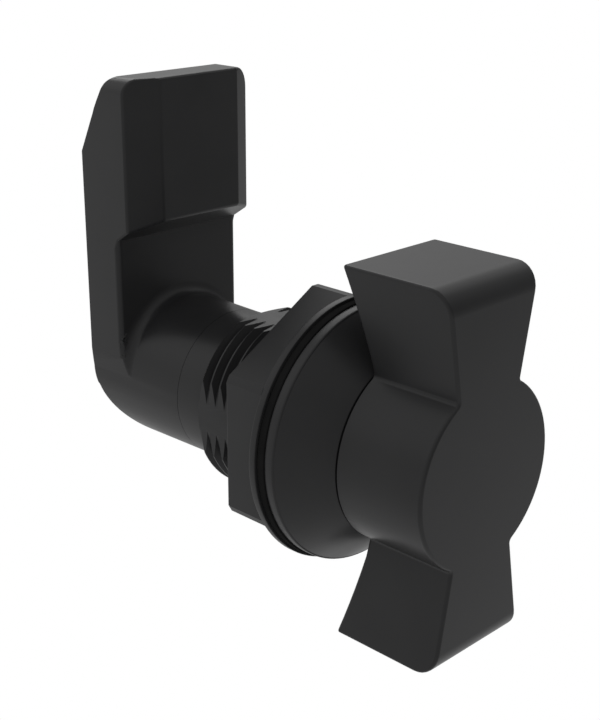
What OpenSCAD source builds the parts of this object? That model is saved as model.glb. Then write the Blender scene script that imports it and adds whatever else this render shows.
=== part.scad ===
// Quarter-turn latch with a wing knob, a flanged M22 barrel, a hex nut and an L-shaped cam.
// Millimetres. The latch axis is Y: the knob lies towards -Y and the cam towards +Y, with its
// arm up along +Z. The origin is on that axis, on the rear face of the head flange.

/* [Head] */
// Diameter of the head flange
head_d = 29.6; // [28:0.1:34]
// Thickness of the straight rim of the flange
head_rim = 1.25; // [0.8:0.05:2.5]
// Diameter of the small front end of the cone
head_front_d = 21.4; // [20:0.1:24]
// Height of the head, from its rear face to its front face
head_h = 6.1; // [5:0.1:8]
// Rounding of the rim's edges
head_edge_r = 0.1; // [0.1:0.05:0.5]

/* [Barrel] */
// Major diameter of the thread
thread_d = 22; // [21:0.1:24]
// Distance across the four flats of the thread
flats_w = 20.1; // [19.8:0.1:20.8]
// Length of the threaded stretch, from the rear face of the flange
thread_len = 15.2; // [13:0.1:18]
// Diameter of the plain rear end
barrel_d = 18.3; // [18:0.1:19]
// Length of the whole barrel, from the rear face of the flange
barrel_len = 20.9; // [20:0.1:26]

/* [Gasket] */
// Outer diameter of the flat gasket
gasket_d = 30.4; // [28:0.1:33]
// Thickness of the flat gasket
gasket_t = 1.0; // [0.8:0.1:2]

/* [Nut] */
// Width across the flats of the nut
nut_af = 27.2; // [25.5:0.1:28]
// How far the collar stands out beyond the gasket, all round
collar_lip = 0.3; // [0.1:0.05:1]
// How far the turned corners of the nut stay inside the collar
corner_inset = 0.05; // [0.05:0.05:1]
// Thickness of the collar
nut_collar_t = 0.9; // [0.6:0.1:1.5]
// Height of the nut with its collar
nut_h = 6.35; // [5:0.05:7.5]
// Chamfer at both mouths of the nut's hole
nut_chamfer = 0.6; // [0.2:0.1:0.9]

/* [Knob] */
// Diameter of the round boss
hub_d = 21.4; // [20:0.1:24]
// Depth of the knob, from the rear of the boss to its front face
knob_depth = 11.3; // [9:0.1:14]
// Open gap between the boss and the head
hub_gap = 0.35; // [0.2:0.05:0.6]
// Height of the knob across both wings
wing_span = 43; // [36:0.1:50]
// Width of a wing at its outer end
wing_end_w = 14.9; // [12:0.1:16]
// Width of a wing where it leaves the boss
wing_root_w = 10.3; // [8:0.1:12]
// How far the outer end of a wing reaches behind the boss
wing_overlap = 2.8; // [1.5:0.1:3.2]
// Bow of the curved rear edge of a wing
wing_bow = 0.2; // [0.05:0.05:0.4]
// Radius between the end face and the front face of a wing
wing_tip_r = 2.8; // [1:0.1:4]
// Radius of the fillets between the wings and the boss
wing_fillet = 0.5; // [0.2:0.05:1]
// Wall around the cored pockets in the rear of the wings
wing_wall = 1.8; // [1.2:0.1:2.2]
// Rib between the two pockets of a wing
wing_rib = 1.6; // [1:0.1:2.5]

/* [Spindle] */
// Diameter of the round spindle
spindle_d = 12; // [11:0.1:12.5]
// Diameter of the thrust boss between knob and head
thrust_d = 16; // [14:0.1:18]
// Width of the square drive end
square_w = 8; // [7:0.1:8]
// Length of the square drive end behind the spindle's shoulder
square_len = 9.3; // [8:0.1:11]
// Thickness of the O-ring's section
seal_t = 1.4; // [1.2:0.1:1.8]
// Width of the O-ring's groove
seal_groove_w = 1.9; // [1.8:0.1:2.4]
// Place of the groove's middle, in front of the flange's rear face
seal_y = 1.6; // [1.2:0.1:3]

/* [Stop] */
// Turn that the stop allows, in degrees
stop_turn = 90; // [60:5:120]
// Width of the fixed stop tooth, in degrees
tooth_angle = 60; // [30:5:80]
// Thickness of the stop disc
disc_t = 3; // [2:0.1:3.5]
// Radial depth of the stop tooth and of the notch for it
tooth_depth = 1.2; // [0.8:0.05:1.3]
// Wall of the barrel around the stop disc
stop_wall = 1.45; // [1.2:0.05:1.5]

/* [Cam] */
// Height of the arm's tip above the latch axis
arm_len = 36.9; // [32:0.1:50]
// How far the neck stands out beyond the barrel's plain rear end, all round
neck_step = 0.15; // [0:0.05:0.3]
// How far each side of the arm stands out beyond the neck
arm_step = 0.2; // [0.1:0.05:0.5]
// Distance from the flange's rear face to the arm's front face
arm_y = 30.7; // [30:0.1:36]
// Thickness of the arm
arm_t = 6.2; // [5.8:0.1:9]
// How far the pad stands in front of the arm
pad_t = 3.7; // [2:0.1:4.5]
// Height of the pad's bottom edge above the latch axis
pad_z = 20.1; // [18:0.1:24]
// How much lower the slanted underside of the pad meets the arm
pad_drop = 2.4; // [1:0.1:3]
// Width of the lead-in ramp on the pad
ramp_w = 4.3; // [2:0.1:8]
// Depth of the lead-in ramp at the pad's edge
ramp_t = 1.75; // [0.5:0.05:2.5]
// Radius between the ramp and the pad's flat face
ramp_fold_r = 1.2; // [0.2:0.1:3]
// Width of the bevel on the pad's other side
bevel_w = 2.8; // [1:0.1:3.4]
// Depth of that bevel at the pad's edge
bevel_t = 1.45; // [0.5:0.05:2]
// Radius between the bevel and the pad's flat face
bevel_fold_r = 0.4; // [0.1:0.1:1]
// Radius of the pad's top front edge
pad_top_r = 0.35; // [0.2:0.05:0.8]
// Radius of the arm's front long edges
arm_edge_r = 0.7; // [0.3:0.1:1]
// Radius of the elbow between neck and arm, seen from the side
elbow_r = 11; // [6:0.1:12]
// Radius of the fillet between neck and arm
neck_fillet = 1.45; // [0.4:0.05:2]
// Height at which the slant at the back of the tip starts
slant_z = 27.7; // [24:0.1:30]
// Angle of that slant from the vertical, in degrees
slant_angle = 27.3; // [20:0.1:32]
// Radius between the slant and the top face
tip_r = 1.5; // [0.5:0.1:3.5]
// Radius of the tip's corner on the ramp's side, seen from the front
ramp_corner_r = 1.9; // [0.5:0.1:4]
// Radius of the tip's other corner
corner_r = 2.6; // [0.5:0.1:4]

/* [Cam screw] */
// Nominal diameter of the screw
screw_d = 4; // [4:0.5:4.5]
// Length of the screw under its head
screw_len = 12; // [10:1:12]
// Diameter of the screw's head
screw_head_d = 7; // [7:0.1:7.5]
// Height of the screw's low head
screw_head_h = 2.8; // [2.5:0.1:4]
// Width across the flats of the screw's socket
screw_socket = 2.5; // [2.5:0.5:3]
// Outer diameter of the washer
washer_d = 9; // [8:0.1:9.2]
// Thickness of the washer
washer_t = 0.8; // [0.6:0.1:1]
// Diameter of the recess for the screw's head
recess_d = 9.6; // [9.5:0.1:11]
// Wall between the cam's square socket and that recess
web_t = 3.8; // [3:0.1:4]
// Outer diameter of the threaded insert
insert_d = 5.6; // [5.5:0.1:6]
// Length of the threaded insert
insert_len = 8; // [7:0.1:8.5]

/* [Clearances] */
// Radial clearance of the spindle in the barrel
run_clear = 0.06; // [0.03:0.01:0.1]
// Radial clearance of the nut on the thread
nut_clear = 0.06; // [0.03:0.01:0.1]
// Axial gap between the barrel's end and the cam's neck
joint_gap = 0.05; // [0.04:0.01:0.3]
// Radial gap between the stop disc and the barrel
disc_clear = 0.2; // [0.15:0.05:0.3]
// Angular gap at each end of the stop's travel, in degrees
stop_clear = 0.5; // [0.3:0.1:1]
// Radial clearance of the cam's hole around the screw
hole_clear = 0.25; // [0.2:0.05:0.4]
// Gap between pieces that are fitted together for good
fit_gap = 0.03; // [0.02:0.01:0.05]

/* [Hidden] */
$fn = 96;

black = [0.13, 0.13, 0.135];
soft_black = [0.06, 0.06, 0.06];
steel = [0.7, 0.71, 0.73];
brass = [0.78, 0.62, 0.3];

over = 1;
hub_y = -(head_h + hub_gap);
knob_front_y = hub_y - knob_depth;
bore_r = spindle_d / 2 + run_clear;
shoulder_y = barrel_len + joint_gap / 3 * 2 - disc_t;
neck_y = barrel_len + joint_gap;
square_y = shoulder_y + square_len;
arm_back_y = arm_y + arm_t;
pad_y = arm_y - pad_t;
socket_y = square_y + 2 * joint_gap;
recess_y = socket_y + web_t;
head_y = recess_y + washer_t;
chamber_r = barrel_d / 2 - stop_wall;
disc_r = chamber_r - disc_clear;
notch_r = disc_r - tooth_depth;
seal_r = bore_r - fit_gap - seal_t / 2;
groove_r = seal_r - seal_t / 2 - fit_gap;
neck_r = barrel_d / 2 + neck_step;
arm_w = 2 * (neck_r + arm_step);
collar_d = gasket_d + 2 * collar_lip;
wing_root_z = sqrt(pow(hub_d / 2, 2) - pow(wing_root_w / 2, 2));
wing_slope = (wing_end_w - wing_root_w) / (wing_span - 2 * wing_root_z);

// Points of an arc of radius r about c, from angle a to angle b
function arc(c, r, a, b, steps = 8) =
    [for (i = [0 : steps]) c + r * [cos(a + (b - a) * i / steps), sin(a + (b - a) * i / steps)]];

// Turns a profile of [radius, y] points about the latch axis
module turned(points) {
    rotate([-90, 0, 0]) rotate_extrude() polygon([for (p = points) [p[0], p[1]]]);
}

// Round bar along the latch axis, from y0 to y1
module bar(d, y0, y1) {
    translate([0, y0, 0]) rotate([-90, 0, 0]) cylinder(d = d, h = y1 - y0);
}

// Extrudes an outline, drawn as seen from the front with z up, from y0 to y1
module front_cut(y0, y1) {
    translate([0, y1, 0]) rotate([90, 0, 0]) linear_extrude(y1 - y0) children();
}

// Extrudes a side profile of [y, z] points over the width w, centred on the latch axis
module side_cut(w) {
    translate([-w / 2, 0, 0]) rotate([90, 0, 90]) linear_extrude(w) children();
}

// Sector of the angle a to b, measured from +z towards +x, as seen along +y
module sector(r, a, b, steps = 12) {
    polygon(concat([[0, 0]],
        [for (i = [0 : steps]) r * [sin(a + (b - a) * i / steps), cos(a + (b - a) * i / steps)]]));
}

// Head flange with its cone, and the barrel with thread diameter, flats and plain end
module housing_outside() {
    thread_r = thread_d / 2;
    plain_r = barrel_d / 2;
    rim_r = head_d / 2;
    turned(concat(
        [[0, -head_h], [head_front_d / 2 - head_edge_r, -head_h]],
        [[head_front_d / 2, -head_h + head_edge_r], [rim_r, -head_rim]],
        arc([rim_r - head_edge_r, -head_edge_r], head_edge_r, 0, 90, 4),
        [[0, 0]]));
    intersection() {
        turned([[0, -over / 2], [thread_r, -over / 2], [thread_r, thread_len],
                [plain_r, thread_len + (thread_r - plain_r)], [plain_r, barrel_len], [0, barrel_len]]);
        front_cut(-over / 2, barrel_len) square(flats_w, center = true);
    }
}

module housing() {
    first_gap = 180 - tooth_angle / 2;
    color(black) difference() {
        housing_outside();
        bar(2 * bore_r, -head_h - over, barrel_len + over);
        difference() {
            bar(2 * chamber_r, shoulder_y - joint_gap, barrel_len + over);
            front_cut(shoulder_y - 2 * joint_gap, barrel_len + 2 * over) difference() {
                sector(3 * chamber_r, first_gap, first_gap + tooth_angle);
                circle(r = notch_r + disc_clear);
            }
        }
    }
}

module flange_gasket() {
    color(soft_black) difference() {
        bar(gasket_d, 0, gasket_t);
        bar(thread_d + 2 * nut_clear, -over, gasket_t + over);
    }
}

module hex_nut() {
    hole_r = thread_d / 2 + nut_clear;
    mouth_r = hole_r + nut_chamfer;
    y0 = gasket_t;
    y1 = gasket_t + nut_h;
    color(black) difference() {
        union() {
            bar(collar_d, y0, y0 + nut_collar_t);
            intersection() {
                front_cut(y0, y1) rotate(30) circle(d = nut_af / cos(30), $fn = 6);
                bar(collar_d - 2 * corner_inset, y0, y1);
            }
        }
        turned([[0, y0 - over], [mouth_r + over, y0 - over], [hole_r, y0 + nut_chamfer],
                [hole_r, y1 - nut_chamfer], [mouth_r + over, y1 + over], [0, y1 + over]]);
    }
}

// Half the width of a wing at height z
function wing_half_w(z) = wing_end_w / 2 - wing_slope * (wing_span / 2 - z);

// Outline of both wings, seen from the front, with fillets where they leave the boss
module wing_outline() {
    reach = hub_d / 2 + wing_fillet;
    lean = atan(wing_slope);
    // Middle of a fillet: its radius away from the wing's side and from the boss
    x0 = wing_half_w(0) + wing_fillet / cos(lean);
    q = 1 + pow(wing_slope, 2);
    z = (sqrt(pow(x0 * wing_slope, 2) - q * (x0 * x0 - reach * reach)) - x0 * wing_slope) / q;
    x = x0 + wing_slope * z;
    side = concat(arc([x, z], wing_fillet, 180 + atan2(z, x), 180 - lean, 6),
                  [[wing_end_w / 2, wing_span / 2]]);
    back = [for (i = [len(side) - 1 : -1 : 0]) side[i]];
    polygon(concat(side, [for (p = back) [-p[0], p[1]]], -side, [for (p = back) [p[0], -p[1]]]));
}

// Side profile of one wing: bowed rear edge, flat end face and rounded front corner
module wing_profile() {
    half = wing_span / 2;
    root_z = hub_d / 2 - over;
    steps = 6;
    rear = [for (i = [0 : steps]) let (t = i / steps)
        [hub_y + wing_overlap * t - 4 * wing_bow * t * (1 - t), root_z + (half - root_z) * t]];
    polygon(concat([[hub_y, 0]], rear,
        arc([knob_front_y + wing_tip_r, half - wing_tip_r], wing_tip_r, 90, 180),
        [[knob_front_y, 0]]));
}

module wings() {
    intersection() {
        front_cut(knob_front_y - over, 0) wing_outline();
        union() {
            side_cut(wing_end_w + over) wing_profile();
            mirror([0, 0, 1]) side_cut(wing_end_w + over) wing_profile();
        }
    }
}

// Pockets that core out the wings from the rear, one on each side of a wing's rib
module wing_pockets() {
    z0 = hub_d / 2 + wing_wall;
    z1 = wing_span / 2 - wing_wall;
    for (up = [0, 1], right = [0, 1]) mirror([0, 0, up]) mirror([right, 0, 0])
        front_cut(knob_front_y + wing_wall, 0)
            polygon([[wing_rib / 2, z0], [wing_rib / 2, z1],
                     [wing_half_w(z1) - wing_wall, z1], [wing_half_w(z0) - wing_wall, z0]]);
}

// Thrust boss, round spindle with the seal groove, and the square drive end
module spindle() {
    groove_y = -seal_y;
    bar(thrust_d, hub_y - over, hub_y + hub_gap - joint_gap);
    difference() {
        bar(spindle_d, hub_y - over, shoulder_y);
        difference() {
            bar(spindle_d + over, groove_y - seal_groove_w / 2, groove_y + seal_groove_w / 2);
            bar(2 * groove_r, groove_y - over * 2, groove_y + over * 2);
        }
    }
    intersection() {
        front_cut(shoulder_y - over, square_y) square(square_w, center = true);
        bar(spindle_d - 2 * fit_gap, shoulder_y - over, square_y + over);
    }
}

module knob() {
    color(black) difference() {
        union() {
            bar(hub_d, knob_front_y, hub_y);
            wings();
            spindle();
        }
        wing_pockets();
        bar(insert_d + 2 * fit_gap, square_y - insert_len - fit_gap, square_y + over);
        bar(screw_d + 4 * fit_gap, head_y - screw_len - over, square_y);
    }
}

module spindle_seal() {
    color(soft_black) translate([0, -seal_y, 0]) rotate([-90, 0, 0])
        rotate_extrude() translate([seal_r, 0]) circle(d = seal_t, $fn = 24);
}

// The notch in the disc's edge takes the barrel's stop tooth and lets it turn by stop_turn
module stop_disc() {
    notch_a = 180 - tooth_angle / 2 - stop_turn;
    color(steel) difference() {
        bar(2 * disc_r, shoulder_y, shoulder_y + disc_t);
        front_cut(shoulder_y - over, shoulder_y + disc_t + over) {
            square(square_w + 2 * fit_gap, center = true);
            difference() {
                sector(3 * disc_r, notch_a - stop_clear,
                       notch_a + stop_turn + tooth_angle + stop_clear);
                circle(r = notch_r);
            }
        }
    }
}

module threaded_insert() {
    color(brass) difference() {
        bar(insert_d, square_y - insert_len, square_y);
        bar(screw_d + 2 * fit_gap, square_y - insert_len - over, square_y + over);
    }
}

// Side profile of arm and pad: slanted underside, rounded tip and slanted back
module arm_profile() {
    slant_run = arm_len - slant_z;
    turn = 90 - slant_angle;
    tip_c = [arm_back_y - slant_run * tan(slant_angle) - tip_r * tan(turn / 2), arm_len - tip_r];
    polygon(concat(
        [[arm_y, -over], [arm_y, pad_z - pad_drop], [pad_y, pad_z]],
        arc([pad_y + pad_top_r, arm_len - pad_top_r], pad_top_r, 180, 90, 4),
        arc(tip_c, tip_r, 90, slant_angle),
        [[arm_back_y + over, slant_z - over / tan(slant_angle)], [arm_back_y + over, -over]]));
}

// Outline of the arm, seen from the front: it widens from the neck and has rounded top corners
module arm_outline() {
    w = arm_w / 2;
    polygon(concat([[-neck_r + arm_step, -neck_fillet], [-w, 2 * neck_fillet]],
        arc([-w + ramp_corner_r, arm_len - ramp_corner_r], ramp_corner_r, 180, 90),
        arc([w - corner_r, arm_len - corner_r], corner_r, 90, 0),
        [[w, 2 * neck_fillet], [neck_r - arm_step, -neck_fillet]]));
}

// Section across the pad: lead-in ramp on the left, flat face, bevel on the right
module pad_section() {
    w = arm_w / 2;
    ramp_a = atan(ramp_t / ramp_w);
    bevel_a = atan(bevel_t / bevel_w);
    ramp_c = [-w + ramp_w + ramp_fold_r * tan(ramp_a / 2), pad_y + ramp_fold_r];
    bevel_c = [w - bevel_w - bevel_fold_r * tan(bevel_a / 2), pad_y + bevel_fold_r];
    polygon(concat(
        [[-w, arm_y + over], [-w, pad_y + ramp_t]],
        arc(ramp_c, ramp_fold_r, -90 - ramp_a, -90, 3),
        arc(bevel_c, bevel_fold_r, -90, -90 + bevel_a, 2),
        [[w, pad_y + bevel_t], [w, arm_y + over]]));
}

// Section across the arm, with its front long edges rounded
module arm_section() {
    w = arm_w / 2;
    e = arm_edge_r;
    polygon(concat(
        arc([-w + e, arm_y + e], e, 180, 270, 4),
        arc([w - e, arm_y + e], e, -90, 0, 4),
        [[w, arm_back_y + over], [-w, arm_back_y + over]]));
}

module arm() {
    intersection() {
        front_cut(pad_y - over, arm_back_y + over) arm_outline();
        side_cut(arm_w + over) arm_profile();
        union() {
            linear_extrude(arm_len + over) arm_section();
            translate([0, 0, pad_z - pad_drop - over])
                linear_extrude(arm_len) pad_section();
        }
    }
}

// Round neck, and the fillet that joins it to the arm's front face
module neck() {
    bar(2 * neck_r, neck_y, arm_back_y + over);
    intersection() {
        turned(concat([[neck_r - over, arm_y - neck_fillet]],
            arc([neck_r + neck_fillet, arm_y - neck_fillet], neck_fillet, 180, 90, 6),
            [[neck_r + neck_fillet, arm_y + over], [neck_r - over, arm_y + over]]));
        front_cut(arm_y - 2 * neck_fillet, arm_y + 2 * over) arm_outline();
    }
}

// What the cam's back allows, seen from the side: the arm's rear face, the elbow's curve below
// it and the neck's underside
module elbow_profile() {
    c = [arm_back_y - elbow_r, elbow_r - arm_w / 2];
    front_y = neck_y - over;
    translate([front_y, c[1]]) square([arm_back_y - front_y, arm_len]);
    translate([front_y, -arm_w / 2]) square([c[0] - front_y, elbow_r + over]);
    translate(c) circle(elbow_r);
}

module cam() {
    color(black) difference() {
        intersection() {
            union() {
                neck();
                arm();
            }
            side_cut(arm_w + over) elbow_profile();
        }
        front_cut(neck_y - over, socket_y) square(square_w + 4 * fit_gap, center = true);
        bar(screw_d + 2 * hole_clear, socket_y - over, recess_y + over);
        bar(recess_d, recess_y, arm_back_y + over);
    }
}

module lock_washer() {
    color(steel) difference() {
        bar(washer_d, recess_y, head_y);
        bar(screw_d + 4 * fit_gap, recess_y - over, head_y + over);
    }
}

module cam_screw() {
    color(steel) difference() {
        union() {
            bar(screw_d, head_y - screw_len, head_y + screw_head_h / 2);
            bar(screw_head_d, head_y, head_y + screw_head_h);
        }
        front_cut(head_y + screw_head_h / 2, head_y + screw_head_h + over)
            circle(d = screw_socket / cos(30), $fn = 6);
    }
}

housing();
flange_gasket();
hex_nut();
knob();
spindle_seal();
stop_disc();
threaded_insert();
cam();
lock_washer();
cam_screw();
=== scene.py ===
"""Looks of a black plastic quarter-turn latch: wing knob, flanged threaded barrel, nut and L-shaped cam.

The latch axis is Y, the knob lies towards -Y and the cam's arm points up. Lengths named in mm are
turned into metres by MM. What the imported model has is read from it, as copies of its meshes.
"""
import math

import bmesh
import bpy
from mathutils import Matrix, Vector


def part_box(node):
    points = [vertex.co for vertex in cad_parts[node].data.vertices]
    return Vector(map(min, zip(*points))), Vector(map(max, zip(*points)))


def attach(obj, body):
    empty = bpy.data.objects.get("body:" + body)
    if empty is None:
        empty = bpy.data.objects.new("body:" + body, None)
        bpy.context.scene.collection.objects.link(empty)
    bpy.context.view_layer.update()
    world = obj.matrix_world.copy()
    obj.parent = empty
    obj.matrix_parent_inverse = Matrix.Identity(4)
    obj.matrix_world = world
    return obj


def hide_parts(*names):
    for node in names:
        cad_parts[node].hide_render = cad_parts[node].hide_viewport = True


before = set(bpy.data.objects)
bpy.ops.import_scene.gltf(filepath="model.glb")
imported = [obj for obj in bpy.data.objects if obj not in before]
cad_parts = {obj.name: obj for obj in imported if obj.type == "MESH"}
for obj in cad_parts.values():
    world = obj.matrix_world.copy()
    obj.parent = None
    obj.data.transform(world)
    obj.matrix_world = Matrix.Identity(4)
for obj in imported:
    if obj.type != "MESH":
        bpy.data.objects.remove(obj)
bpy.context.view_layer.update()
scene = bpy.context.scene

MM = 0.001

# Camera, solved from the photograph's edges
CAMERA_AZIMUTH = -45.41
CAMERA_ELEVATION = 20.02
CAMERA_ROLL = 0.25
CAMERA_RIGHT_MM = -6.78
CAMERA_UP_MM = 7.80
CAMERA_BACK_MM = 151.54
LENS_MM = 67.19
SENSOR_MM = 36.0

# Thread M22 x 1.5 on the barrel, in mm: radii, half width of the groove's root and its place
THREAD_R = 11.0
ROOT_R = 10.195
ROOT_HALF_W = 0.19
FLANK_ANGLE = 30
PITCH = 1.5
GROOVE_START = 1.3375
GROOVE_TURNS = 10
GROOVE_END = 15.9
GROOVE_STEPS = 96
# How far the groove's tool reaches past the thread, and the slack that its crest and root have
GROOVE_OVER = 0.4
CREST_SLACK = 0.02
ROOT_SLACK = 0.2
# Share of a normal along X or Z from which a face is one of the barrel's flats
FLAT_NORMAL = 0.9995

# Edge radii of the moulded pieces, in mm
KNOB_EDGE = 0.4
KNOB_REAR_EDGE = 0.35
CAM_EDGE = 0.3
CAM_REAR_EDGE = 0.08
ARM_EDGE = 0.7
NUT_EDGE = 0.15
GASKET_EDGE = 0.2
WASHER_EDGE = 0.12

# Knob, in mm: the radii that clear its spindle and its hub, and where its front part ends
SPINDLE_CLEAR_R = 8.5
HUB_CLEAR_R = 11.5
FRONT_Y = -12

# Cam, in mm: the radius that clears its hole, what is left alone of its neck, the depth of its back,
# and the face of its arm
HOLE_CLEAR_R = 5
NECK_LEFT = 1
BACK_DEPTH = 0.5
ARM_FRONT_Y = 30.8
# The short edges at the arm's elbow, and where and how closely their rounding is welded
ELBOW_EDGE_H = 1.01
ELBOW_TOP_Z = 18
WELD_Z = (16, 17)
WELD = 0.03
# The upper end of the ramp's fold, whose short edges the solid has rounded already
FOLD_LEFT_X = -6.1
FOLD_BACK_Y = 27.4
FOLD_LOW_Z = 36.5
# Width of the fine line between the barrel and the cam's neck
JOINT_LINE = 0.06

# Flange's rim, in mm: its radius, the radius and steps of its front edge, and how far inside the old
# radius a vertex still belongs to it
RIM_R = 15.0
RIM_EDGE = 0.25
RIM_STEPS = 5
RIM_DEPTH = 0.2

# Cap screw, in mm, and the points that make one of its knurls
SHANK_R = 2
SOCKET_AF = 2.5
SOCKET_DEPTH = 1.5
HEAD_CHAMFER = 0.35
KNURLS = 60
KNURL_DEPTH = 0.09
KNURL_POINTS = 4

# Floor: pale, far below the latch, and lifted to white for what looks at it
FLOOR_Z_MM = -250
FLOOR_SIZE_MM = 360
FLOOR_CENTRE_MM = (-60, -40)
FLOOR_COLOUR = 0.85
FLOOR_LIFT = 0.2

# Angles in degrees: from which an edge stays sharp, and up to which faces count as one plane
SHARP_DEGREES = 25
FLAT_DEGREES = 0.4
# Distances in mm: within which vertices are merged, and within which one counts as on a plane
MERGE = 0.0005
ON_PLANE = 0.01


def new_object(name, bm, true_flats=True):
    """Turns a bmesh into a linked object with smooth faces, sharp creases and true flats."""
    mesh = bpy.data.meshes.new(name)
    bmesh.ops.recalc_face_normals(bm, faces=bm.faces)
    bm.to_mesh(mesh)
    bm.free()
    copied_normals = mesh.attributes.get("custom_normal")
    if copied_normals:
        mesh.attributes.remove(copied_normals)
    mesh.shade_smooth()
    mesh.set_sharp_from_angle(angle=math.radians(SHARP_DEGREES))
    obj = bpy.data.objects.new(name, mesh)
    scene.collection.objects.link(obj)
    if true_flats:
        flats = obj.modifiers.new("flats", "WEIGHTED_NORMAL")
        flats.keep_sharp = True
    return obj


def node_copy(node):
    """The mesh of a CAD node as a closed bmesh."""
    bm = bmesh.new()
    bm.from_mesh(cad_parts[node].data)
    bmesh.ops.remove_doubles(bm, verts=bm.verts, dist=MERGE * MM)
    return bm


def join_flats(bm):
    """Joins triangles in one plane back into one face."""
    bmesh.ops.dissolve_limit(bm, angle_limit=math.radians(FLAT_DEGREES), verts=bm.verts, edges=bm.edges)
    return bm


def reach(point):
    """Distance of a point from the latch axis."""
    return math.hypot(point.x, point.z)


def edge_reach(edge):
    """Distance of an edge's middle from the latch axis."""
    return reach((edge.verts[0].co + edge.verts[1].co) / 2)


def widen(vert, factor):
    """Moves a vertex straight away from the latch axis, or towards it."""
    vert.co.x *= factor
    vert.co.z *= factor


def round_edges(bm, radius, least_angle=SHARP_DEGREES, segments=4, where=None):
    """Rounds the convex edges that are sharper than least_angle degrees."""
    chosen = [e for e in bm.edges
              if len(e.link_faces) == 2 and e.is_convex
              and math.degrees(e.calc_face_angle(0)) > least_angle
              and (where is None or where(e))]
    bmesh.ops.bevel(bm, geom=chosen, offset=radius * MM, offset_type="OFFSET", segments=segments,
                    profile=0.5, affect="EDGES", clamp_overlap=False, miter_outer="ARC")


def difference(bm, tool):
    """Cuts the bmesh tool out of the bmesh bm."""
    pair = []
    for part in (bm, tool):
        mesh = bpy.data.meshes.new("part")
        part.to_mesh(mesh)
        part.free()
        pair.append(bpy.data.objects.new("part", mesh))
        scene.collection.objects.link(pair[-1])
    cut = pair[0].modifiers.new("cut", "BOOLEAN")
    cut.operation = "DIFFERENCE"
    cut.solver = "EXACT"
    cut.object = pair[1]
    result = bmesh.new()
    result.from_object(pair[0], bpy.context.evaluated_depsgraph_get())
    for obj in pair:
        bpy.data.meshes.remove(obj.data)
    return result


def stand_for(bm, name, node, body, true_flats=True):
    """Makes the bmesh the visible piece of a CAD node."""
    obj = new_object(name, bm, true_flats)
    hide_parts(node)
    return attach(obj, body)


# Knob: the rounded edges are on the grip, and the spindle behind it stays as it is
def make_knob():
    bm = join_flats(node_copy("knob"))

    def on_grip(edge):
        return max(v.co.y for v in edge.verts) < 0 and edge_reach(edge) > SPINDLE_CLEAR_R * MM

    def in_front(edge):
        return on_grip(edge) and min(v.co.y for v in edge.verts) < FRONT_Y * MM

    def behind(edge):
        return on_grip(edge) and not in_front(edge) and edge_reach(edge) > HUB_CLEAR_R * MM

    round_edges(bm, KNOB_EDGE, where=in_front)
    round_edges(bm, KNOB_REAR_EDGE, least_angle=40, where=behind)
    return stand_for(bm, "knob_moulding", "knob", "turning_core")


def draw_in_neck(bm, neck_y):
    """Draws the front of the cam's neck in to the barrel's radius, a fine line behind the barrel."""
    line = JOINT_LINE * MM
    barrel_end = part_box("housing")[1].y
    barrel_r = max(reach(v.co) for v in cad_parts["housing"].data.vertices
                   if v.co.y > barrel_end - line)
    for vert in bm.verts:
        if abs(vert.co.y - neck_y) < line:
            widen(vert, min(1, barrel_r / reach(vert.co)))
            vert.co.y = barrel_end + line


# Cam: its front edges are rounded and its rear edges almost sharp, and its neck meets the barrel flush
def make_cam():
    bm = join_flats(node_copy("cam"))
    low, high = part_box("cam")

    def outside(edge):
        return edge_reach(edge) > HOLE_CLEAR_R * MM \
            and min(v.co.y for v in edge.verts) > low.y + NECK_LEFT * MM

    def at_the_back(edge):
        return outside(edge) and max(v.co.y for v in edge.verts) > high.y - BACK_DEPTH * MM

    def at_the_elbow(edge):
        a, b = (v.co for v in edge.verts)
        on_a_side = all(abs(abs(end.x) - high.x) < ON_PLANE * MM for end in (a, b))
        return on_a_side and max(a.y, b.y) < ARM_FRONT_Y * MM \
            and abs(a.z - b.z) < ELBOW_EDGE_H * MM and a.z < ELBOW_TOP_Z * MM

    def at_the_fold(edge):
        a, b = (v.co for v in edge.verts)
        return FOLD_LEFT_X * MM < min(a.x, b.x) and max(a.x, b.x) < 0 \
            and max(a.y, b.y) < FOLD_BACK_Y * MM and min(a.z, b.z) > FOLD_LOW_Z * MM

    def in_front(edge):
        return outside(edge) and not at_the_back(edge) and not at_the_fold(edge)

    draw_in_neck(bm, low.y)
    round_edges(bm, ARM_EDGE, where=at_the_elbow)
    weld_low, weld_high = (z * MM for z in WELD_Z)
    bmesh.ops.remove_doubles(bm, verts=[v for v in bm.verts if weld_low < v.co.z < weld_high],
                             dist=WELD * MM)
    round_edges(bm, CAM_EDGE, where=in_front)
    round_edges(bm, CAM_REAR_EDGE, least_angle=40, segments=2, where=at_the_back)
    for vert in bm.verts:
        vert.co.y = min(vert.co.y, high.y)
        vert.co.z = min(vert.co.z, high.z)
    return stand_for(bm, "cam_moulding", "cam", "turning_core")


def make_nut():
    bm = join_flats(node_copy("hex_nut"))
    round_edges(bm, NUT_EDGE, least_angle=35, segments=2)
    return stand_for(bm, "hex_nut_moulding", "hex_nut", "nut")


def make_gasket():
    bm = join_flats(node_copy("flange_gasket"))
    round_edges(bm, GASKET_EDGE, segments=2)
    return stand_for(bm, "gasket_ring", "flange_gasket", "barrel")


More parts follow.
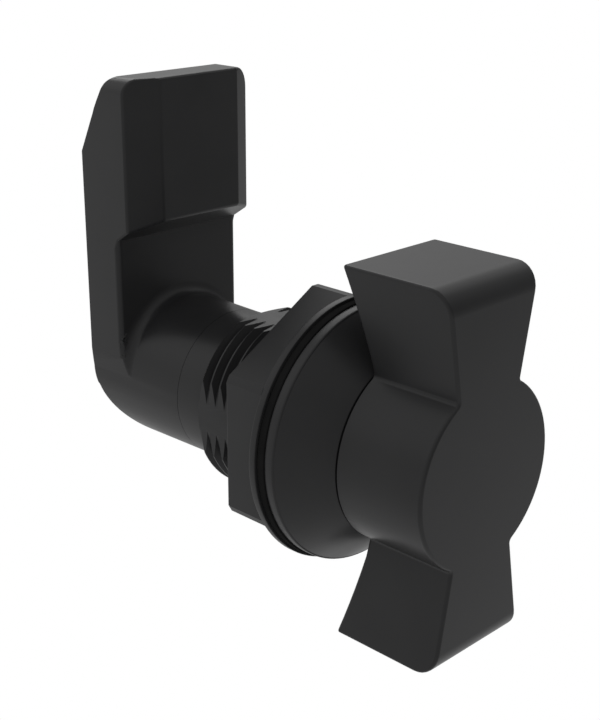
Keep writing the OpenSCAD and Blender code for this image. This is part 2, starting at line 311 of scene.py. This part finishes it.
def thread_groove():
    """The helical groove of the right-handed thread, as one closed solid a little too long."""
    outside = THREAD_R + GROOVE_OVER
    rim = THREAD_R + CREST_SLACK
    mouth = ROOT_HALF_W + (rim - ROOT_R) * math.tan(math.radians(FLANK_ANGLE))
    section = [(ROOT_R, -ROOT_HALF_W), (ROOT_R, ROOT_HALF_W), (rim, mouth), (outside, mouth),
               (outside, -mouth), (rim, -mouth)]
    bm = bmesh.new()
    rings = []
    for i in range(GROOVE_TURNS * GROOVE_STEPS + 1):
        turn = i / GROOVE_STEPS
        sin, cos = math.sin(2 * math.pi * turn), math.cos(2 * math.pi * turn)
        rings.append([bm.verts.new((r * sin * MM, (GROOVE_START + PITCH * turn + y) * MM, r * cos * MM))
                      for r, y in section])
    for ring, after in zip(rings, rings[1:]):
        for i in range(len(section)):
            j = (i + 1) % len(section)
            bm.faces.new((ring[i], ring[j], after[j], after[i]))
    bm.faces.new(rings[0])
    bm.faces.new(rings[-1])
    bmesh.ops.triangulate(bm, faces=bm.faces)
    bmesh.ops.recalc_face_normals(bm, faces=bm.faces)
    return bm


def in_groove(face):
    """Whether a face is a flank or the root of the thread, and not a crest or one of the flats; these
    faces get the painted groove shade.
    """
    along = face.calc_center_median().y / MM
    radius = min(reach(v.co) for v in face.verts) / MM
    in_thread = 0 < along < GROOVE_END and ROOT_R - ROOT_SLACK < radius < THREAD_R - CREST_SLACK
    on_flat = max(abs(face.normal.x), abs(face.normal.z)) > FLAT_NORMAL
    return in_thread and not on_flat


def round_rim(bm):
    """Gives the flange's rim the gasket's radius and a rounded front edge that runs into the cone."""
    old_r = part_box("housing")[1].x
    edge_r = RIM_EDGE * MM

    def rim_faces():
        return [f for f in bm.faces if min(reach(v.co) for v in f.verts) > old_r - RIM_DEPTH * MM]

    front = min(v.co.y for f in rim_faces() for v in f.verts)
    end = math.acos(1 - (RIM_R * MM - old_r) / edge_r)
    start = front + edge_r * math.sin(end)
    for step in range(RIM_STEPS):
        along = start - edge_r * math.sin(end * step / RIM_STEPS)
        faces = rim_faces()
        in_rim = set(faces)
        edges = [e for e in bm.edges if not in_rim.isdisjoint(e.link_faces)]
        verts = [v for v in bm.verts if not in_rim.isdisjoint(v.link_faces)]
        bmesh.ops.bisect_plane(bm, geom=[*verts, *edges, *faces], dist=MERGE * MM,
                               plane_co=(0, along, 0), plane_no=(0, 1, 0))
    for vert in bm.verts:
        radius = reach(vert.co)
        if radius > old_r - RIM_DEPTH * MM and vert.co.y > front + ON_PLANE * MM:
            turn = math.asin(min(1, max(0, (start - vert.co.y) / edge_r)))
            drop = edge_r * (1 - math.cos(turn))
            widen(vert, (radius - old_r + RIM_R * MM - drop) / radius)


def make_housing():
    bm = difference(node_copy("housing"), thread_groove())
    bmesh.ops.remove_doubles(bm, verts=bm.verts, dist=MERGE * MM)
    bm.normal_update()
    # Faces in the thread's groove take the second material, which paints shade into the grooves
    for face in bm.faces:
        face.material_index = int(in_groove(face))
    round_rim(bm)
    return stand_for(bm, "housing_moulding", "housing", "barrel", true_flats=False)


# Screw: knurled low head with a chamfer and a hexagon socket
def make_screw():
    low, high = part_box("cam_screw")
    head_r = high.x
    head_top = high.y
    washer_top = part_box("lock_washer")[1].y
    shank_r = SHANK_R * MM
    bm = bmesh.new()
    sides = KNURLS * KNURL_POINTS

    def ring(radius, y, depth=0.0):
        """A ring of points, the second half of each knurl's points drawn in by depth."""
        verts = []
        for i in range(sides):
            turn = 2 * math.pi * i / sides
            r = radius - depth * (i % KNURL_POINTS >= KNURL_POINTS / 2)
            verts.append(bm.verts.new((r * math.sin(turn), y, r * math.cos(turn))))
        return verts

    chamfer = HEAD_CHAMFER * MM
    knurl = KNURL_DEPTH * MM
    socket_r = SOCKET_AF / math.sqrt(3) * MM
    rings = [ring(shank_r, low.y), ring(shank_r, washer_top), ring(head_r - knurl, washer_top),
             ring(head_r, washer_top + knurl, knurl), ring(head_r, head_top - chamfer, knurl),
             ring(head_r - chamfer, head_top)]
    for ring_a, ring_b in zip(rings, rings[1:]):
        for i in range(sides):
            j = (i + 1) % sides
            bm.faces.new((ring_a[i], ring_a[j], ring_b[j], ring_b[i]))
    bm.faces.new(rings[0])
    bm.faces.new(rings[-1])
    bmesh.ops.recalc_face_normals(bm, faces=bm.faces)
    socket = bmesh.new()
    bmesh.ops.create_cone(socket, cap_ends=True, segments=6, radius1=socket_r, radius2=socket_r,
                          depth=2 * SOCKET_DEPTH * MM)
    bmesh.ops.transform(socket, verts=socket.verts,
                        matrix=Matrix.Translation((0, head_top, 0)) @ Matrix.Rotation(math.pi / 2, 4, "X"))
    return stand_for(difference(bm, socket), "cap_screw", "cam_screw", "turning_core")


def make_washer():
    bm = join_flats(node_copy("lock_washer"))
    round_edges(bm, WASHER_EDGE, segments=2)
    return stand_for(bm, "screw_washer", "lock_washer", "turning_core")


# Materials: the usual range of a noise, the detail of clouds and grain, and the grain's depth in mm
NOISE_LOW, NOISE_HIGH = 0.3, 0.7
CLOUD_DETAIL = 3
GRAIN_DETAIL = 2
GRAIN_DEPTH = 0.01


def nodes_of(material):
    material.use_nodes = True
    tree = material.node_tree
    return tree.nodes, tree.links, tree.nodes["Principled BSDF"]


def noise(nodes, links, where, scale, detail):
    texture = nodes.new("ShaderNodeTexNoise")
    texture.inputs["Scale"].default_value = scale
    texture.inputs["Detail"].default_value = detail
    links.new(where, texture.inputs["Vector"])
    return texture.outputs["Fac"]


def spread(nodes, links, value, low, high):
    """Maps the usual range of a noise to the range low to high."""
    part = nodes.new("ShaderNodeMapRange")
    part.inputs["From Min"].default_value = NOISE_LOW
    part.inputs["From Max"].default_value = NOISE_HIGH
    part.inputs["To Min"].default_value = low
    part.inputs["To Max"].default_value = high
    links.new(value, part.inputs["Value"])
    return part.outputs["Result"]


def surface(name, colour, roughness, specular, metallic=0.0, clouds=(140, 0.08), uneven=0.03,
            grain_mm=0.12, grain=0.05, stretch=(1, 1, 1)):
    """A material whose colour and roughness vary a little, with a fine grain as bump.

    clouds holds the scale of that variation and how far the colour swings, and stretch draws the
    noise out along the axes.
    """
    material = bpy.data.materials.new(name)
    nodes, links, shader = nodes_of(material)
    shader.inputs["Metallic"].default_value = metallic
    shader.inputs["Specular IOR Level"].default_value = specular
    place = nodes.new("ShaderNodeTexCoord")
    along = nodes.new("ShaderNodeMapping")
    along.inputs["Scale"].default_value = stretch
    links.new(place.outputs["Object"], along.inputs["Vector"])
    where = along.outputs["Vector"]
    scale, swing = clouds
    cloud = noise(nodes, links, where, scale, CLOUD_DETAIL)
    tone = nodes.new("ShaderNodeValToRGB")
    tone.color_ramp.elements[0].position = NOISE_LOW
    tone.color_ramp.elements[1].position = NOISE_HIGH
    for element, level in zip(tone.color_ramp.elements, (1 - swing, 1 + swing)):
        element.color = [min(1, c * level) for c in colour] + [1]
    links.new(cloud, tone.inputs["Fac"])
    links.new(tone.outputs["Color"], shader.inputs["Base Color"])
    links.new(spread(nodes, links, cloud, roughness - uneven, roughness + uneven),
              shader.inputs["Roughness"])
    bump = nodes.new("ShaderNodeBump")
    bump.inputs["Strength"].default_value = grain
    bump.inputs["Distance"].default_value = GRAIN_DEPTH * MM
    links.new(noise(nodes, links, where, 1 / (grain_mm * MM), GRAIN_DETAIL), bump.inputs["Height"])
    links.new(bump.outputs["Normal"], shader.inputs["Normal"])
    return material


def finish_in(obj, material, second=None):
    """Gives an object its material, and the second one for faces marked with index 1."""
    obj.data.materials.clear()
    obj.data.materials.append(material)
    if second:
        obj.data.materials.append(second)


def make_camera():
    a, e, r = (math.radians(v) for v in (CAMERA_AZIMUTH, CAMERA_ELEVATION, CAMERA_ROLL))
    back = Vector((math.sin(a) * math.cos(e), -math.cos(a) * math.cos(e), math.sin(e)))
    right = Vector((math.cos(a), math.sin(a), 0))
    up = back.cross(right)
    right, up = (math.cos(r) * right + math.sin(r) * up, -math.sin(r) * right + math.cos(r) * up)
    place = (right * CAMERA_RIGHT_MM + up * CAMERA_UP_MM + back * CAMERA_BACK_MM) * MM
    data = bpy.data.cameras.new("camera")
    data.lens = LENS_MM
    data.sensor_width = SENSOR_MM
    data.clip_start = 1 * MM
    camera = bpy.data.objects.new("camera", data)
    scene.collection.objects.link(camera)
    turn = Matrix((right, up, back)).transposed()
    camera.matrix_world = Matrix.Translation(place) @ turn.to_4x4()
    scene.camera = camera


# Studio: the camera sees white, matt surfaces get an even light, and gloss sees large soft lights in
# a dimmer room with a pale floor. Each light has its azimuth and elevation, the angles from its
# middle at which it starts and ends to fade, and its level.
WHITE = 1
AMBIENT = 0.95
ROOM = 0.26
SOFT_LIGHTS = {
    "left": (-115, 12, 25, 100, 0.66),
    "left_back": (-142, 38, 8, 32, 0.42),
    "back": (149, 39, 8, 27, 1.8),
    "back_low": (135, 22, 5, 25, 0.3),
    "right": (108, 37, 6, 28, 0.65),
    "above": (40, 75, 25, 65, 0.5),
}
# The floor's level and where it blends with the room, and what is added after that: two weak fills,
# and a dark flag behind and below the latch
FLOOR_LEVEL = 0.85
FLOOR_BLEND = (0, -90, 50, 95, 1.0)
LOW_LIGHTS = {
    "front_fill": (-28, -28, 15, 50, 0.12),
    "left_fill": (-135, -20, 15, 45, 0.09),
    "dark_flag": (150, -60, 10, 45, -0.25),
}


def direction(azimuth, elevation):
    """Unit vector; azimuth 0 is -Y and 90 is +X."""
    a, e = math.radians(azimuth), math.radians(elevation)
    return (math.sin(a) * math.cos(e), -math.cos(a) * math.cos(e), math.sin(e))


def soft_light(nodes, links, where, azimuth, elevation, inner, outer, level):
    """What one soft light adds to the world's gloss, by the direction looked in."""
    aligned = nodes.new("ShaderNodeVectorMath")
    aligned.operation = "DOT_PRODUCT"
    aligned.inputs[1].default_value = direction(azimuth, elevation)
    links.new(where, aligned.inputs[0])
    fade = nodes.new("ShaderNodeMapRange")
    fade.interpolation_type = "SMOOTHSTEP"
    fade.inputs["From Min"].default_value = math.cos(math.radians(outer))
    fade.inputs["From Max"].default_value = math.cos(math.radians(inner))
    fade.inputs["To Max"].default_value = level
    links.new(aligned.outputs["Value"], fade.inputs["Value"])
    return fade.outputs["Result"]


def joined(nodes, links, operation, values):
    """Combines several values by one operation."""
    total = values[0]
    for value in values[1:]:
        step = nodes.new("ShaderNodeMath")
        step.operation = operation
        for socket, source in zip(step.inputs, (total, value)):
            links.new(source, socket)
        total = step.outputs["Value"]
    return total


def make_world():
    world = bpy.data.worlds.new("studio")
    scene.world = world
    world.use_nodes = True
    nodes, links = world.node_tree.nodes, world.node_tree.links
    nodes.clear()
    out = nodes.new("ShaderNodeOutputWorld")
    path = nodes.new("ShaderNodeLightPath")
    where = nodes.new("ShaderNodeTexCoord").outputs["Generated"]
    room = nodes.new("ShaderNodeValue").outputs["Value"]
    room.default_value = ROOM
    lights = [soft_light(nodes, links, where, *light) for light in SOFT_LIGHTS.values()]
    seen, ambient, gloss = (nodes.new("ShaderNodeBackground") for _ in range(3))
    seen.inputs["Strength"].default_value = WHITE
    ambient.inputs["Strength"].default_value = AMBIENT
    below = nodes.new("ShaderNodeMapRange")
    links.new(soft_light(nodes, links, where, *FLOOR_BLEND), below.inputs["Value"])
    links.new(joined(nodes, links, "ADD", [room] + lights), below.inputs["To Min"])
    below.inputs["To Max"].default_value = FLOOR_LEVEL
    low_lights = [soft_light(nodes, links, where, *light) for light in LOW_LIGHTS.values()]
    links.new(joined(nodes, links, "ADD", [below.outputs["Result"]] + low_lights),
              gloss.inputs["Strength"])
    for background in (seen, ambient, gloss):
        background.inputs["Color"].default_value = (1, 1, 1, 1)
    lit = nodes.new("ShaderNodeMixShader")
    links.new(path.outputs["Is Glossy Ray"], lit.inputs["Fac"])
    links.new(ambient.outputs["Background"], lit.inputs[1])
    links.new(gloss.outputs["Background"], lit.inputs[2])
    shown = nodes.new("ShaderNodeMixShader")
    links.new(joined(nodes, links, "MAXIMUM", [path.outputs["Is Camera Ray"],
                                               path.outputs["Is Transmission Ray"]]), shown.inputs["Fac"])
    links.new(lit.outputs["Shader"], shown.inputs[1])
    links.new(seen.outputs["Background"], shown.inputs[2])
    links.new(shown.outputs["Shader"], out.inputs["Surface"])


def make_floor():
    bm = bmesh.new()
    half = FLOOR_SIZE_MM / 2 * MM
    mid_x, mid_y = FLOOR_CENTRE_MM
    corners = [bm.verts.new((mid_x * MM + x * half, mid_y * MM + y * half, FLOOR_Z_MM * MM))
               for x, y in ((-1, -1), (1, -1), (1, 1), (-1, 1))]
    bm.faces.new(corners)
    mesh = bpy.data.meshes.new("floor")
    bm.to_mesh(mesh)
    bm.free()
    floor = bpy.data.objects.new("floor", mesh)
    scene.collection.objects.link(floor)
    material = bpy.data.materials.new("floor_white")
    nodes, links, shader = nodes_of(material)
    shader.inputs["Base Color"].default_value = (FLOOR_COLOUR, FLOOR_COLOUR, FLOOR_COLOUR, 1)
    shader.inputs["Roughness"].default_value = 1
    shader.inputs["Specular IOR Level"].default_value = 0
    shader.inputs["Emission Color"].default_value = (1, 1, 1, 1)
    path = nodes.new("ShaderNodeLightPath")
    seen = joined(nodes, links, "MAXIMUM", [path.outputs["Is Camera Ray"], path.outputs["Is Glossy Ray"],
                                            path.outputs["Is Transmission Ray"]])
    lift = nodes.new("ShaderNodeMath")
    lift.operation = "MULTIPLY"
    lift.inputs[1].default_value = FLOOR_LIFT
    links.new(seen, lift.inputs[0])
    links.new(lift.outputs["Value"], shader.inputs["Emission Strength"])
    mesh.materials.append(material)


polyamide = surface("black_polyamide", (0.013, 0.013, 0.0134), roughness=0.31, specular=0.17)
# The thread's grooves get a darker, less glossy copy of the polyamide: painted shade standing in for the
# shade that falls into the grooves
painted_groove_shade = surface("polyamide_painted_groove_shade", (0.006, 0.006, 0.0062), roughness=0.5, specular=0.06)
rubber = surface("black_rubber", (0.0075, 0.0075, 0.0075), roughness=0.9, specular=0.02,
                 clouds=(300, 0.15), grain_mm=0.2)
seal = surface("seal_rubber", (0.008, 0.008, 0.008), roughness=0.45, specular=0.4)
zinc = surface("zinc_plated_steel", (0.56, 0.57, 0.58), roughness=0.32, specular=0.5, metallic=1.0,
               clouds=(500, 0.06), uneven=0.06)
stamped = surface("stamped_steel", (0.52, 0.53, 0.54), roughness=0.38, specular=0.5, metallic=1.0,
                  clouds=(400, 0.08), uneven=0.08, stretch=(1, 1, 6))
brass = surface("turned_brass", (0.66, 0.5, 0.22), roughness=0.28, specular=0.5, metallic=1.0,
                clouds=(300, 0.05), uneven=0.05, stretch=(1, 12, 1))

finish_in(make_knob(), polyamide)
finish_in(make_cam(), polyamide)
finish_in(make_nut(), polyamide)
finish_in(make_housing(), polyamide, painted_groove_shade)
finish_in(make_gasket(), rubber)
finish_in(make_screw(), zinc)
finish_in(make_washer(), zinc)
for node, material, slot in (("spindle_seal", seal, "seal_rubber"),
                             ("stop_disc", stamped, "stop_steel"),
                             ("threaded_insert", brass, "insert_brass")):
    finish_in(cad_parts[node], material)
make_floor()
make_camera()
make_world()
scene.view_settings.view_transform = "Standard"
